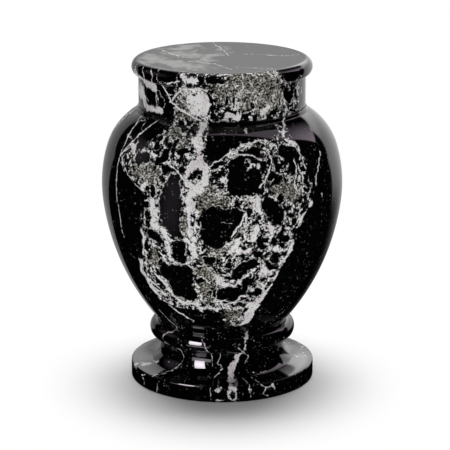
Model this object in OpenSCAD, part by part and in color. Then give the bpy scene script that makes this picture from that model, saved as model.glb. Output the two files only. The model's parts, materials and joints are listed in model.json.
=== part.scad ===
// Cremation urn turned from polished black marble. A hollow body stands on a bead, a cove and
// a round foot, all one block of stone, and a flat-topped lid rests in its mouth.
// Millimetres, +Z up, origin at the middle of the underside.

/* [Foot] */
// Diameter of the foot disc
foot_d = 154; // [136:1:200]
// Thickness of the foot disc
foot_t = 14; // [10:0.5:24]
// Rounding of the two edges of the foot disc
foot_round = 1.2; // [0.5:0.1:3]

/* [Cove] */
// Diameter of the cove at its narrowest
waist_d = 104; // [80:1:112]
// How far the cove spreads outwards where it meets the foot
cove_spread = 7; // [3:0.5:12]
// Height of the cove below its narrowest place
cove_low_h = 14; // [11:0.5:20]
// Height of the cove above its narrowest place, up to the bead
cove_top_h = 6.4; // [2:0.1:10]

/* [Bead] */
// Largest diameter of the bead
bead_d = 122; // [118:1:136]
// Height of the bead
bead_h = 16.4; // [12:0.2:22]

/* [Body] */
// Largest diameter of the body
belly_d = 200; // [176:1:240]
// Height of the body from the top of the bead to the landing that the lid rests on
body_h = 182.2; // [170:0.2:220]
// Height of the largest diameter above the top of the bead
belly_h = 116.5; // [96:0.5:124]
// Radius of the outline as it passes the largest diameter
belly_r = 112; // [90:1:130]
// Angle that this outline turns through below the largest diameter
belly_low_turn = 7; // [3:0.5:12]
// Angle that it turns through above the largest diameter
belly_top_turn = 16.5; // [10:0.5:22]
// Diameter of the body where it meets the bead
crease_d = 107.6; // [100:0.2:112]
// How far the raised landing under the lid stands out past the lid's collar
landing_proud = 1.1; // [0.4:0.1:4]
// Height of the landing above the end of the shoulder
landing_h = 2.8; // [2:0.1:5]
// Rounding of the upper edge of the landing
landing_round = 1; // [0.5:0.1:1.8]

/* [Hollow] */
// Thickness of the body's wall
wall = 12; // [8:0.5:15]
// Height of the floor of the hollow above the top of the bead
floor_h = 11; // [6:0.5:30]
// Diameter of the mouth
mouth_d = 104; // [96:1:110]

/* [Lid] */
// Diameter of the lid over its round edge
lip_d = 148.8; // [146:0.2:170]
// Thickness of the lid's round-edged disc
lip_t = 13.5; // [10:0.5:18]
// Diameter of the collar under the disc
collar_d = 137.6; // [130:0.2:142]
// Height of the collar from the landing to the disc
collar_h = 26; // [18:0.5:36]
// Chamfer on the lower edge of the collar
collar_chamfer = 0.7; // [0.3:0.1:1.5]
// How far the spigot reaches down into the mouth
spigot_l = 12; // [6:0.5:20]
// Thickness of the spigot's wall
spigot_wall = 9; // [6:0.5:14]
// Clearance all round the spigot in the mouth
spigot_gap = 0.6; // [0.3:0.1:1.5]
// Thickness of stone over the hollow of the lid
lid_top_t = 12; // [8:0.5:16]

/* [Hidden] */
$fn = 180;
// A cut runs this far past the face that it opens
past = 1;

// Heights, from the floor upwards
waist_z = foot_t + cove_low_h;
bead_z = waist_z + cove_top_h;
crease_z = bead_z + bead_h;
belly_z = crease_z + belly_h;
landing_z = crease_z + body_h;
lip_z = landing_z + collar_h;
top_z = lip_z + lip_t;

// Cove: the radius whose arc passes the waist and reaches the foot at the spread
cove_r = (cove_spread ^ 2 + cove_low_h ^ 2) / (2 * cove_spread);
cove_centre = [waist_d / 2 + cove_r, waist_z];

// Each outline point is [distance from the axis, height]. An arc's angles are measured at its
// centre, upwards from level. An arc that leaves a point at a given angle and passes through a
// second point has exactly one radius.
arc_step = 3;
function direction(angle) = [cos(angle), sin(angle)];
function arc_radius(from, to, angle) =
    let (chord = to - from) -(chord * chord) / (2 * (chord * direction(angle)));
function arc_points(centre, radius, from, to) =
    let (steps = ceil((to - from) / arc_step))
    [for (i = [0:steps]) centre + radius * direction(from + (to - from) * i / steps)];

// Body outline: the belly's arc, with the flank's arc below it and the shoulder's above,
// each leaving the belly's arc smoothly
landing_r = collar_d / 2 + landing_proud;
crease = [crease_d / 2, crease_z];
shoulder_end = [landing_r, landing_z - landing_h];
belly_centre = [belly_d / 2 - belly_r, belly_z];
belly_low_end = belly_centre + belly_r * direction(-belly_low_turn);
belly_top_end = belly_centre + belly_r * direction(belly_top_turn);
flank_r = arc_radius(belly_low_end, crease, -belly_low_turn);
flank_centre = belly_low_end - flank_r * direction(-belly_low_turn);
shoulder_r = arc_radius(belly_top_end, shoulder_end, belly_top_turn);
shoulder_centre = belly_top_end - shoulder_r * direction(belly_top_turn);
shoulder_angle = acos((shoulder_end.x - shoulder_centre.x) / shoulder_r);

// Hollow: the same arcs, moved inwards by the wall, from the floor up to the mouth
floor_z = crease_z + floor_h;
floor_angle = asin((floor_z - flank_centre.y) / (flank_r - wall));
mouth_over = max(0, mouth_d / 2 - shoulder_centre.x);
mouth_angle = acos(mouth_over / (shoulder_r - wall));
mouth_z = shoulder_centre.y + (shoulder_r - wall) * sin(mouth_angle);

// Spigot: it hangs free in the mouth
spigot_r = mouth_d / 2 - spigot_gap;
spigot_z = landing_z - spigot_l;

// Profile piece: a level slab from the axis out to a given radius
module plain_slab(radius, low_z, high_z) {
    translate([0, low_z]) square([radius, high_z - low_z]);
}

// Profile piece: the round of an edge, whose side is at a given radius
module edge_round(radius, centre_z, round_r) {
    translate([radius - round_r, centre_z]) circle(round_r);
}

module foot_profile() {
    plain_slab(foot_d / 2 - foot_round, 0, foot_t);
    plain_slab(foot_d / 2, foot_round, foot_t - foot_round);
    edge_round(foot_d / 2, foot_round, foot_round);
    edge_round(foot_d / 2, foot_t - foot_round, foot_round);
}

module cove_profile() {
    difference() {
        plain_slab(waist_d / 2 + cove_spread, foot_t - foot_round, bead_z + bead_h / 4);
        translate(cove_centre) circle(cove_r);
    }
}

module bead_profile() {
    plain_slab((bead_d - bead_h) / 2, bead_z, crease_z);
    edge_round(bead_d / 2, bead_z + bead_h / 2, bead_h / 2);
}

module vessel_profile() {
    in_bead_z = crease_z - bead_h / 4;
    in_bead_angle = asin((in_bead_z - flank_centre.y) / flank_r);
    polygon(concat(
        [[0, in_bead_z]],
        arc_points(flank_centre, flank_r, in_bead_angle, -belly_low_turn),
        arc_points(belly_centre, belly_r, -belly_low_turn, belly_top_turn),
        arc_points(shoulder_centre, shoulder_r, belly_top_turn, shoulder_angle),
        [[0, shoulder_end.y]]
    ));
}

module landing_profile() {
    plain_slab(landing_r, shoulder_end.y - landing_round, landing_z - landing_round);
    plain_slab(landing_r - landing_round, shoulder_end.y, landing_z);
    edge_round(landing_r, landing_z - landing_round, landing_round);
}

module hollow_profile() {
    polygon(concat(
        [[0, floor_z]],
        arc_points(flank_centre, flank_r - wall, floor_angle, -belly_low_turn),
        arc_points(belly_centre, belly_r - wall, -belly_low_turn, belly_top_turn),
        arc_points(shoulder_centre, shoulder_r - wall, belly_top_turn, mouth_angle),
        [[mouth_d / 2, mouth_z], [mouth_d / 2, landing_z + past], [0, landing_z + past]]
    ));
}

// The vessel with its bead, cove and foot, turned from one block
module body() {
    color([0.10, 0.10, 0.10])
        rotate_extrude()
            difference() {
                union() {
                    foot_profile();
                    cove_profile();
                    bead_profile();
                    vessel_profile();
                    landing_profile();
                }
                hollow_profile();
            }
}

module lid_profile() {
    plain_slab((lip_d - lip_t) / 2, lip_z, top_z);
    edge_round(lip_d / 2, lip_z + lip_t / 2, lip_t / 2);
    plain_slab(collar_d / 2, landing_z + collar_chamfer, lip_z + lip_t / 2);
    polygon([
        [0, landing_z],
        [collar_d / 2 - collar_chamfer, landing_z],
        [collar_d / 2, landing_z + collar_chamfer],
        [0, landing_z + collar_chamfer]
    ]);
    plain_slab(spigot_r, spigot_z, landing_z);
}

// The lid: round-edged disc, collar and spigot, hollow under the disc
module lid() {
    color([0.25, 0.25, 0.24])
        rotate_extrude()
            difference() {
                lid_profile();
                plain_slab(spigot_r - spigot_wall, spigot_z - past, top_z - lid_top_t);
            }
}

body();
lid();
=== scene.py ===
# %% [markdown]
# # A turned marble urn
# A stonemason turns this urn on a lathe from two blocks of black marble. One block becomes the
# vessel with its bead, cove and foot, the other the lid. This lesson draws each outline, turns
# it with Geometry Nodes, and then grows the stone's pattern with shader nodes: jet black marble,
# broken long ago, and healed with white calcite and fine grey rubble, which masons call breccia.

# %% Load the frame
import json
import math

import bpy
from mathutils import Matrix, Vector

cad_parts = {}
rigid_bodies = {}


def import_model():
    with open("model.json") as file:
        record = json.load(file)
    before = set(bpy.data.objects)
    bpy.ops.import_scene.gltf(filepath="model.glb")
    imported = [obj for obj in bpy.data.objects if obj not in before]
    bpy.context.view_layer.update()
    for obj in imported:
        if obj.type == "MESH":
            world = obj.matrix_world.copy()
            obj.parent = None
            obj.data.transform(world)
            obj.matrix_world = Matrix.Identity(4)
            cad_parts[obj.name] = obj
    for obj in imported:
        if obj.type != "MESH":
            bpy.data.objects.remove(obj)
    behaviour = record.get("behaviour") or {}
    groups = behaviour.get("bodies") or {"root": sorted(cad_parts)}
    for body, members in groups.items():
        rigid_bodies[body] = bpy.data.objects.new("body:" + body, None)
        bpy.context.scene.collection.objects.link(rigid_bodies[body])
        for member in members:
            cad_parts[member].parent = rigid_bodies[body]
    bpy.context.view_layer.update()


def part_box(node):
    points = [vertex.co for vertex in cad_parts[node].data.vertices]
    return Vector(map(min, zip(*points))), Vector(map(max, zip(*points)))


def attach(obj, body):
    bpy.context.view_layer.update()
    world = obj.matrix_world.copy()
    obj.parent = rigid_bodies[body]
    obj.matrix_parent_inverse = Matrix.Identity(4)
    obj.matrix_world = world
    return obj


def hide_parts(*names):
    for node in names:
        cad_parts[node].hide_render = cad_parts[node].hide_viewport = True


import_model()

BODY_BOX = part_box("body")
LID_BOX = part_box("lid")
MM = 0.001

# %% [markdown]
# ## The outline of a turned piece
# A turned piece is fully described by one outline: the distance from the axis at each height.
# The urn's outline is made of arcs, as a mason's templates are. An arc is given by its centre,
# its radius and two angles, and a helper turns it into points. The sizes are in millimetres,
# and the largest ones are read from the frame, so that the looks fit the construction.

# %% Helpers for outlines


def arc(centre, radius, start, end, step=3.0):
    """Points on an arc, as (distance from the axis, height). Angle 0 points outwards."""
    count = max(1, math.ceil(abs(end - start) / step))
    points = []
    for index in range(count + 1):
        angle = math.radians(start + (end - start) * index / count)
        points.append((centre[0] + radius * math.cos(angle), centre[1] + radius * math.sin(angle)))
    return points


def line(start, end, step=2.0):
    """Evenly spaced points on a straight stretch."""
    length = math.dist(start, end)
    count = max(1, math.ceil(length / step))
    return [
        tuple(a + (b - a) * index / count for a, b in zip(start, end))
        for index in range(count + 1)
    ]


def towards(centre, radius, angle):
    """The point at an angle on a circle."""
    turn = math.radians(angle)
    return (centre[0] + radius * math.cos(turn), centre[1] + radius * math.sin(turn))


def radius_through(start, end, angle):
    """Radius of the arc that leaves start square to the angle and passes through end."""
    chord = (end[0] - start[0], end[1] - start[1])
    normal = (math.cos(math.radians(angle)), math.sin(math.radians(angle)))
    along = chord[0] * normal[0] + chord[1] * normal[1]
    return -(chord[0] ** 2 + chord[1] ** 2) / (2 * along)


def joined(*stretches):
    """One outline from several stretches, without repeated points."""
    points = []
    for stretch in stretches:
        for point in stretch:
            if not points or math.dist(points[-1], point) > 0.01:
                points.append(point)
    return points


print("a quarter circle of 10 mm takes", len(arc((0, 0), 10, 0, 90)), "points")

# %% [markdown]
# ## The body's outline
# From the floor up: the foot disc, the cove, the bead, the flank, the belly and the shoulder,
# and the small landing that carries the lid. The same arcs, moved in by the wall, make the
# hollow. The belly's arc is tangent to the two arcs beside it, so the light slides over them
# without a kink.

# %% Sizes of the body, in millimetres
BELLY_R = min(abs(value) for value in (*BODY_BOX[0][:2], *BODY_BOX[1][:2])) / MM
LANDING_Z = BODY_BOX[1][2] / MM
FOOT_R, FOOT_T, FOOT_ROUND = 77.0, 14.0, 1.2
WAIST_R, COVE_SPREAD, COVE_LOW_H, COVE_TOP_H = 52.0, 7.0, 14.0, 6.4
BEAD_R, BEAD_H = 61.0, 16.4
BEAD_Z = FOOT_T + COVE_LOW_H + COVE_TOP_H
CREASE_R, CREASE_Z = 53.8, BEAD_Z + BEAD_H
BELLY_Z, BELLY_ARC_R, BELLY_LOW_TURN, BELLY_TOP_TURN = CREASE_Z + 116.5, 112.0, -7.0, 16.5
LANDING_R, LANDING_H, LANDING_ROUND = 69.9, 2.8, 1.0
WALL, FLOOR_Z, MOUTH_R, MOUTH_ROUND = 12.0, CREASE_Z + 11.0, 52.0, 0.8

BELLY_CENTRE = (BELLY_R - BELLY_ARC_R, BELLY_Z)
BELLY_LOW = towards(BELLY_CENTRE, BELLY_ARC_R, BELLY_LOW_TURN)
BELLY_TOP = towards(BELLY_CENTRE, BELLY_ARC_R, BELLY_TOP_TURN)
FLANK_R = radius_through(BELLY_LOW, (CREASE_R, CREASE_Z), BELLY_LOW_TURN)
FLANK_CENTRE = towards(BELLY_LOW, -FLANK_R, BELLY_LOW_TURN)
SHOULDER_END = (LANDING_R, LANDING_Z - LANDING_H)
SHOULDER_R = radius_through(BELLY_TOP, SHOULDER_END, BELLY_TOP_TURN)
SHOULDER_CENTRE = towards(BELLY_TOP, -SHOULDER_R, BELLY_TOP_TURN)
print("flank radius", round(FLANK_R, 1), "shoulder radius", round(SHOULDER_R, 1))

# %% [markdown]
# ## The outside, from the foot up to the landing
# Each stretch is drawn by its own small function, in the order in which a mason would cut it.
# The round stretches get short steps, because their outlines are seen against the light.

# %% The outside of the body


def foot_outline():
    """A flat disc with two rounded edges."""
    low = (FOOT_R - FOOT_ROUND, FOOT_ROUND)
    high = (FOOT_R - FOOT_ROUND, FOOT_T - FOOT_ROUND)
    return joined(
        line((0, 0), (FOOT_R - FOOT_ROUND, 0), 4.0),
        arc(low, FOOT_ROUND, -90, 0, 15),
        arc(high, FOOT_ROUND, 0, 90, 15),
    )


def cove_outline():
    """The hollow neck, drawn from a centre outside the urn."""
    radius = (COVE_SPREAD ** 2 + COVE_LOW_H ** 2) / (2 * COVE_SPREAD)
    centre = (WAIST_R + radius, FOOT_T + COVE_LOW_H)
    start = 180 + math.degrees(math.asin(COVE_LOW_H / radius))
    end = 180 - math.degrees(math.asin(COVE_TOP_H / radius))
    return arc(centre, radius, start, end, 4)


def bead_outline():
    """The round ring above the cove."""
    centre = (BEAD_R - BEAD_H / 2, BEAD_Z + BEAD_H / 2)
    return arc(centre, BEAD_H / 2, -86, 83, 6)


def vessel_outline():
    """Flank, belly, shoulder and the landing's rounded edge."""
    crease_angle = math.degrees(math.asin((CREASE_Z - FLANK_CENTRE[1]) / FLANK_R))
    end_angle = math.degrees(math.acos((SHOULDER_END[0] - SHOULDER_CENTRE[0]) / SHOULDER_R))
    landing = (LANDING_R - LANDING_ROUND, LANDING_Z - LANDING_ROUND)
    return joined(
        arc(FLANK_CENTRE, FLANK_R, crease_angle, BELLY_LOW_TURN, 0.45),
        arc(BELLY_CENTRE, BELLY_ARC_R, BELLY_LOW_TURN, BELLY_TOP_TURN, 0.8),
        arc(SHOULDER_CENTRE, SHOULDER_R, BELLY_TOP_TURN, end_angle, 1.6),
        arc(landing, LANDING_ROUND, 0, 90, 15),
    )


print("outside of the vessel:", len(vessel_outline()), "points")

# %% [markdown]
# ## The hollow
# A real urn is bored out from the mouth. The wall is about 12 mm of stone all the way, the floor
# of the hollow is flat, and the stem below it stays solid. Nobody sees it with the lid on, but
# the lid lifts off, so it is as true as the outside.

# %% The inside of the body


def hollow_outline():
    """From the landing in over the rim, down the wall and in along the floor."""
    floor_angle = math.degrees(math.asin((FLOOR_Z - FLANK_CENTRE[1]) / (FLANK_R - WALL)))
    mouth_angle = math.degrees(math.acos((MOUTH_R - SHOULDER_CENTRE[0]) / (SHOULDER_R - WALL)))
    rim = (MOUTH_R + MOUTH_ROUND, LANDING_Z - MOUTH_ROUND)
    return joined(
        line((LANDING_R - LANDING_ROUND, LANDING_Z), (rim[0], LANDING_Z), 3.0),
        arc(rim, MOUTH_ROUND, 90, 180, 22.5),
        line((MOUTH_R, rim[1]), towards(SHOULDER_CENTRE, SHOULDER_R - WALL, mouth_angle), 3.0),
        arc(SHOULDER_CENTRE, SHOULDER_R - WALL, mouth_angle, BELLY_TOP_TURN, 5),
        arc(BELLY_CENTRE, BELLY_ARC_R - WALL, BELLY_TOP_TURN, BELLY_LOW_TURN, 3),
        arc(FLANK_CENTRE, FLANK_R - WALL, BELLY_LOW_TURN, floor_angle, 2),
        line(towards(FLANK_CENTRE, FLANK_R - WALL, floor_angle), (0, FLOOR_Z), 6.0),
    )


BODY_OUTLINE = joined(
    foot_outline(), cove_outline(), bead_outline(), vessel_outline(), hollow_outline()
)
print("body outline:", len(BODY_OUTLINE), "points")

# %% [markdown]
# ## The lid's outline
# The lid is a thick disc with a fully rounded edge and a straight collar below it. Its lower
# edge has a small chamfer, which makes the thin dark line where lid and body meet. A spigot
# below the collar keeps the lid centred in the mouth, and the lid is hollow inside the spigot.

# %% Sizes and outline of the lid, in millimetres
LIP_R = min(abs(value) for value in (*LID_BOX[0][:2], *LID_BOX[1][:2])) / MM
TOP_Z = LID_BOX[1][2] / MM
SPIGOT_Z = LID_BOX[0][2] / MM
LIP_T, COLLAR_R, COLLAR_CHAMFER = 13.5, 68.8, 0.7
SPIGOT_R, SPIGOT_WALL, LID_TOP_T, SOFT_EDGE = 51.4, 9.0, 12.0, 0.4


def lid_outline():
    """From the middle of the lid's ceiling, round the spigot, and back over the top."""
    inner_r = SPIGOT_R - SPIGOT_WALL
    ceiling_z = TOP_Z - LID_TOP_T
    lip = (LIP_R - LIP_T / 2, TOP_Z - LIP_T / 2)
    meet_angle = -math.degrees(math.acos((COLLAR_R - lip[0]) / (LIP_T / 2)))
    return joined(
        line((0, ceiling_z), (inner_r, ceiling_z), 6.0),
        line((inner_r, ceiling_z), (inner_r, SPIGOT_Z), 4.0),
        line((inner_r, SPIGOT_Z), (SPIGOT_R - SOFT_EDGE, SPIGOT_Z), 3.0),
        line((SPIGOT_R, SPIGOT_Z + SOFT_EDGE), (SPIGOT_R, LANDING_Z), 3.0),
        line((SPIGOT_R, LANDING_Z), (COLLAR_R - COLLAR_CHAMFER, LANDING_Z), 3.0),
        line((COLLAR_R, LANDING_Z + COLLAR_CHAMFER), towards(lip, LIP_T / 2, meet_angle), 1.5),
        arc(lip, LIP_T / 2, meet_angle, 90, 6),
        line((lip[0], TOP_Z), (0, TOP_Z), 1.5),
    )


LID_OUTLINE = lid_outline()
print("lid outline:", len(LID_OUTLINE), "points")

# %% [markdown]
# ## Turning with Geometry Nodes
# Blender has a Screw modifier for turned work, but a node tree shows every step and can be
# reused. The tree takes the outline as a row of vertices. It makes a flat grid with one column
# for each outline point and one row for each turn step, and rolls that grid up: each grid point
# looks up its outline point and is turned round the axis by its row's angle. The last row lands
# on the first, and merging closes the seam and the two points on the axis. A few helpers come
# first, because every tree in this lesson is written with them.

# %% Node helpers


def socket_of(link, node, name):
    """Feeds a node input with a socket or with a plain value."""
    target = node.inputs[name]
    if isinstance(link, bpy.types.NodeSocket):
        node.id_data.links.new(link, target)
    else:
        target.default_value = link
    return target


def make(tree, kind, inputs=None, **settings):
    """Adds a node, sets its properties, and feeds its inputs by name or number."""
    node = tree.nodes.new(kind)
    for key, value in settings.items():
        setattr(node, key, value)
    for name, link in (inputs or {}).items():
        socket_of(link, node, name)
    return node


def math_node(tree, operation, *values, clamp=False):
    """A Math node with its inputs in order, giving its output."""
    inputs = dict(enumerate(values))
    return make(tree, "ShaderNodeMath", inputs, operation=operation, use_clamp=clamp).outputs[0]


def plus(tree, first, second):
    return math_node(tree, "ADD", first, second)


def minus(tree, first, second):
    return math_node(tree, "SUBTRACT", first, second)


def times(tree, first, second):
    return math_node(tree, "MULTIPLY", first, second)


def times_plus(tree, value, factor, extra):
    """The value times the factor, plus the extra."""
    return math_node(tree, "MULTIPLY_ADD", value, factor, extra)


def larger(tree, first, second):
    return math_node(tree, "MAXIMUM", first, second)


def smaller(tree, first, second):
    return math_node(tree, "MINIMUM", first, second)


def distance_from(tree, value, middle):
    """How far a value is from the middle, on either side."""
    return math_node(tree, "ABSOLUTE", minus(tree, value, middle))


def parts_of(tree, vector):
    """The X, Y and Z of a vector."""
    return make(tree, "ShaderNodeSeparateXYZ", {0: vector}).outputs


def vector_of(tree, x, y, z=0.0):
    """A vector from three numbers."""
    return make(tree, "ShaderNodeCombineXYZ", {"X": x, "Y": y, "Z": z}).outputs[0]


def new_group(name, kind, inputs, outputs):
    """A node group with named inputs and outputs, and its two end nodes."""
    tree = bpy.data.node_groups.new(name, kind)
    for label, socket, default in inputs:
        item = tree.interface.new_socket(label, in_out="INPUT", socket_type=socket)
        if default is not None:
            item.default_value = default
    for label, socket in outputs:
        tree.interface.new_socket(label, in_out="OUTPUT", socket_type=socket)
    start = tree.nodes.new("NodeGroupInput")
    end = tree.nodes.new("NodeGroupOutput")
    return tree, start, end


SUMS = (plus, minus, times, times_plus, larger, smaller, distance_from)
print("sums for node trees:", ", ".join(helper.__name__ for helper in SUMS))

# %% [markdown]
# ## The lathe tree
# The tree has three named inputs: the outline, the number of turn steps and the stone. One turn
# step is one row of the grid, so more steps make a rounder piece and a heavier mesh.

# %% The lathe tree
SEAM_DISTANCE = 0.00001


def build_lathe():
    """Rolls a grid into a turned piece, whose outline is a row of vertices."""
    tree, start, end = new_group(
        "lathe",
        "GeometryNodeTree",
        [
            ("Outline", "NodeSocketGeometry", None),
            ("Turn steps", "NodeSocketInt", 64),
            ("Stone", "NodeSocketMaterial", None),
        ],
        [("Geometry", "NodeSocketGeometry")],
    )
    steps = start.outputs["Turn steps"]
    points = make(
        tree,
        "GeometryNodeAttributeDomainSize",
        {"Geometry": start.outputs["Outline"]},
        component="MESH",
    ).outputs["Point Count"]
    last = minus(tree, points, 1.0)
    rows = plus(tree, steps, 1.0)
    grid = make(
        tree,
        "GeometryNodeMeshGrid",
        {"Size X": steps, "Size Y": last, "Vertices X": rows, "Vertices Y": points},
    ).outputs["Mesh"]

    place = parts_of(tree, make(tree, "GeometryNodeInputPosition").outputs[0])
    row = plus(tree, place["X"], times(tree, steps, 0.5))
    column = plus(tree, place["Y"], times(tree, last, 0.5))
    column = math_node(tree, "ROUND", column)
    turn = times(tree, math_node(tree, "DIVIDE", row, steps), math.tau)
    # The turning starts behind the urn, so that the seam lies there.
    turn = plus(tree, turn, math.pi / 2)

    sample = make(
        tree,
        "GeometryNodeSampleIndex",
        {
            "Geometry": start.outputs["Outline"],
            "Value": make(tree, "GeometryNodeInputPosition").outputs[0],
            "Index": column,
        },
        data_type="FLOAT_VECTOR",
        domain="POINT",
    )
    outline = parts_of(tree, sample.outputs[0])
    across = times(tree, outline["X"], math_node(tree, "COSINE", turn))
    deep = times(tree, outline["X"], math_node(tree, "SINE", turn))
    target = vector_of(tree, across, deep, outline["Z"])

    rolled = make(tree, "GeometryNodeSetPosition", {"Geometry": grid, "Position": target})
    merged = make(
        tree,
        "GeometryNodeMergeByDistance",
        {"Geometry": rolled.outputs[0], "Distance": SEAM_DISTANCE},
    )
    smooth = make(
        tree, "GeometryNodeSetShadeSmooth", {"Geometry": merged.outputs[0], "Shade Smooth": True}
    )
    real = make(tree, "GeometryNodeRealizeInstances", {"Geometry": smooth.outputs[0]})
    stone = make(
        tree,
        "GeometryNodeSetMaterial",
        {"Geometry": real.outputs[0], "Material": start.outputs["Stone"]},
    )
    tree.links.new(stone.outputs[0], end.inputs["Geometry"])
    return tree


LATHE = build_lathe()
print("lathe tree:", len(LATHE.nodes), "nodes")

# %% [markdown]
# ## From outline to stone piece
# The outline becomes a small mesh of points and edges. The lathe tree is its modifier, and the
# evaluated result replaces it as a plain mesh. A closed shell whose faces point outwards has a
# positive volume, so a quick sum tells whether the faces have to be turned round.

# %% Turn a piece


def set_input(modifier, tree, name, value):
    """Sets a modifier's input by the identifier of the tree's named socket."""
    for item in tree.interface.items_tree:
        if item.item_type == "SOCKET" and item.in_out == "INPUT" and item.name == name:
            modifier[item.identifier] = value
            return
    raise KeyError(name)


def shell_volume(mesh):
    """Volume inside a closed mesh, negative when its faces point inwards."""
    mesh.calc_loop_triangles()
    total = 0.0
    for triangle in mesh.loop_triangles:
        a, b, c = (mesh.vertices[index].co for index in triangle.vertices)
        total += a.dot(b.cross(c)) / 6
    return total


def turn_piece(name, outline, turn_steps, stone):
    """Turns an outline in millimetres into a plain mesh object of the given stone."""
    mesh = bpy.data.meshes.new(name + "_outline")
    vertices = [(distance * MM, 0, height * MM) for distance, height in outline]
    edges = [(index, index + 1) for index in range(len(vertices) - 1)]
    mesh.from_pydata(vertices, edges, [])
    piece = bpy.data.objects.new(name, mesh)
    bpy.context.scene.collection.objects.link(piece)
    modifier = piece.modifiers.new("lathe", "NODES")
    modifier.node_group = LATHE
    set_input(modifier, LATHE, "Turn steps", turn_steps)
    set_input(modifier, LATHE, "Stone", stone)
    evaluated = piece.evaluated_get(bpy.context.evaluated_depsgraph_get())
    turned = bpy.data.meshes.new_from_object(evaluated)
    turned.name = name
    piece.modifiers.clear()
    piece.data = turned
    if shell_volume(turned) < 0:
        turned.flip_normals()
    volume = round(shell_volume(turned) * 1e6)
    print(name, "has", len(turned.loop_triangles), "triangles and", volume, "cm3 of stone")
    return piece


print("turned pieces take these inputs:", ", ".join(i.name for i in LATHE.interface.items_tree))

# %% [markdown]
# ## How the stone is painted
# The stone is solid all the way through, so most of its grain is read from the object's own
# coordinates, in millimetres. The large marks are different: a mason turns the block until its
# best side faces front, and the marks on this urn's best side are listed one by one. For that the
# surface is unrolled like a label: one number says how far round the urn a place is, the other how
# high.
# A mark is a stroke from one place to another with a width at each end, and the shader works
# out how far each point of the stone is from it. Noise bends the label first, so that straight
# strokes come out ragged, like real cracks.

# %% Shader helpers
LABEL_R = 100.0


def vector_node(tree, operation, *values, **named):
    """A Vector Math node with its inputs in order. Scale is given by name."""
    inputs = dict(enumerate(values))
    inputs.update(named)
    return make(tree, "ShaderNodeVectorMath", inputs, operation=operation)


def noise(tree, place, size_mm, detail=3.0, roughness=0.55, distortion=0.0):
    """Noise whose lumps are about size_mm across, when the place is in millimetres."""
    return make(
        tree,
        "ShaderNodeTexNoise",
        {
            "Vector": place,
            "Scale": 1.0 / size_mm,
            "Detail": detail,
            "Roughness": roughness,
            "Distortion": distortion,
        },
        noise_dimensions="3D",
    )


def swing(tree, place, size_mm, detail, roughness):
    """A random number, centred on zero, that changes over about size_mm."""
    return minus(tree, noise(tree, place, size_mm, detail, roughness).outputs["Fac"], 0.5)


def shove(tree, place, size_mm, detail, roughness, amount):
    """A random push, centred on zero, that changes over about size_mm."""
    push = noise(tree, place, size_mm, detail, roughness).outputs["Color"]
    push = vector_node(tree, "SUBTRACT", push, (0.5, 0.5, 0.5)).outputs[0]
    return vector_node(tree, "SCALE", push, Scale=amount).outputs[0]


def fade(tree, value, from_low, from_high, to_low=0.0, to_high=1.0):
    """A smooth step from one level to another."""
    return make(
        tree,
        "ShaderNodeMapRange",
        {
            "Value": value,
            "From Min": from_low,
            "From Max": from_high,
            "To Min": to_low,
            "To Max": to_high,
        },
        interpolation_type="SMOOTHSTEP",
    ).outputs["Result"]


def blend(tree, mask, below, above):
    """Lays one colour over another where the mask is 1."""
    node = tree.nodes.new("ShaderNodeMix")
    node.data_type = "RGBA"
    colours = [socket for socket in node.inputs if socket.type == "RGBA"]
    for target, colour in zip(colours, (below, above)):
        if isinstance(colour, bpy.types.NodeSocket):
            tree.links.new(colour, target)
        else:
            target.default_value = (*colour, 1.0)
    socket_of(mask, node, 0)
    return next(socket for socket in node.outputs if socket.type == "RGBA")


def between(tree, mask, below, above):
    """The same for plain numbers."""
    return plus(tree, times(tree, mask, minus(tree, above, below)), below)


print("one degree round the label is", round(math.radians(1) * LABEL_R, 2), "mm")

# %% [markdown]
# ## The label
# This group unrolls the urn. "Around" is the angle from the front, times 100 mm, and "up" is the
# height. Coarse and fine noise each push places about by a millimetre or two. The group also
# says how far to the front a place lies: 1 in front, 0 at the sides, -1 behind.

# %% The label group


def build_label():
    """Unrolls the urn and bends the label."""
    tree, start, end = new_group(
        "label",
        "ShaderNodeTree",
        [
            ("Place", "NodeSocketVector", None),
            ("Coarse bend", "NodeSocketFloat", 4.0),
            ("Fine bend", "NodeSocketFloat", 5.0),
        ],
        [("Label", "NodeSocketVector"), ("Frontness", "NodeSocketFloat")],
    )
    place = start.outputs["Place"]
    part = parts_of(tree, place)
    angle = math_node(tree, "ARCTAN2", part["X"], times(tree, part["Y"], -1.0))
    flat = vector_of(tree, times(tree, angle, LABEL_R), part["Z"])

    coarse = shove(tree, place, 22.0, 1.0, 0.55, start.outputs["Coarse bend"])
    fine = shove(tree, place, 5.5, 3.0, 0.6, start.outputs["Fine bend"])
    bent = vector_node(tree, "ADD", flat, coarse).outputs[0]
    bent = vector_node(tree, "ADD", bent, fine).outputs[0]
    bent = vector_node(tree, "MULTIPLY", bent, (1.0, 1.0, 0.0)).outputs[0]
    tree.links.new(bent, end.inputs["Label"])
    tree.links.new(math_node(tree, "COSINE", angle), end.inputs["Frontness"])
    return tree


LABEL = build_label()
print("label group:", len(LABEL.nodes), "nodes")

# %% [markdown]
# ## A stroke
# The distance from a point to a stroke is a small piece of geometry: drop the point on the
# stroke's line, stop at its ends, and measure. Less the stroke's half width, the answer is
# negative inside the mark and positive outside it, so marks join by taking the smaller answer.
# The share along the line is stopped by two plain nodes and not by the Math node's own clamp,
# which would make the shader keep every stroke's share in memory at once.

# %% The stroke group


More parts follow.
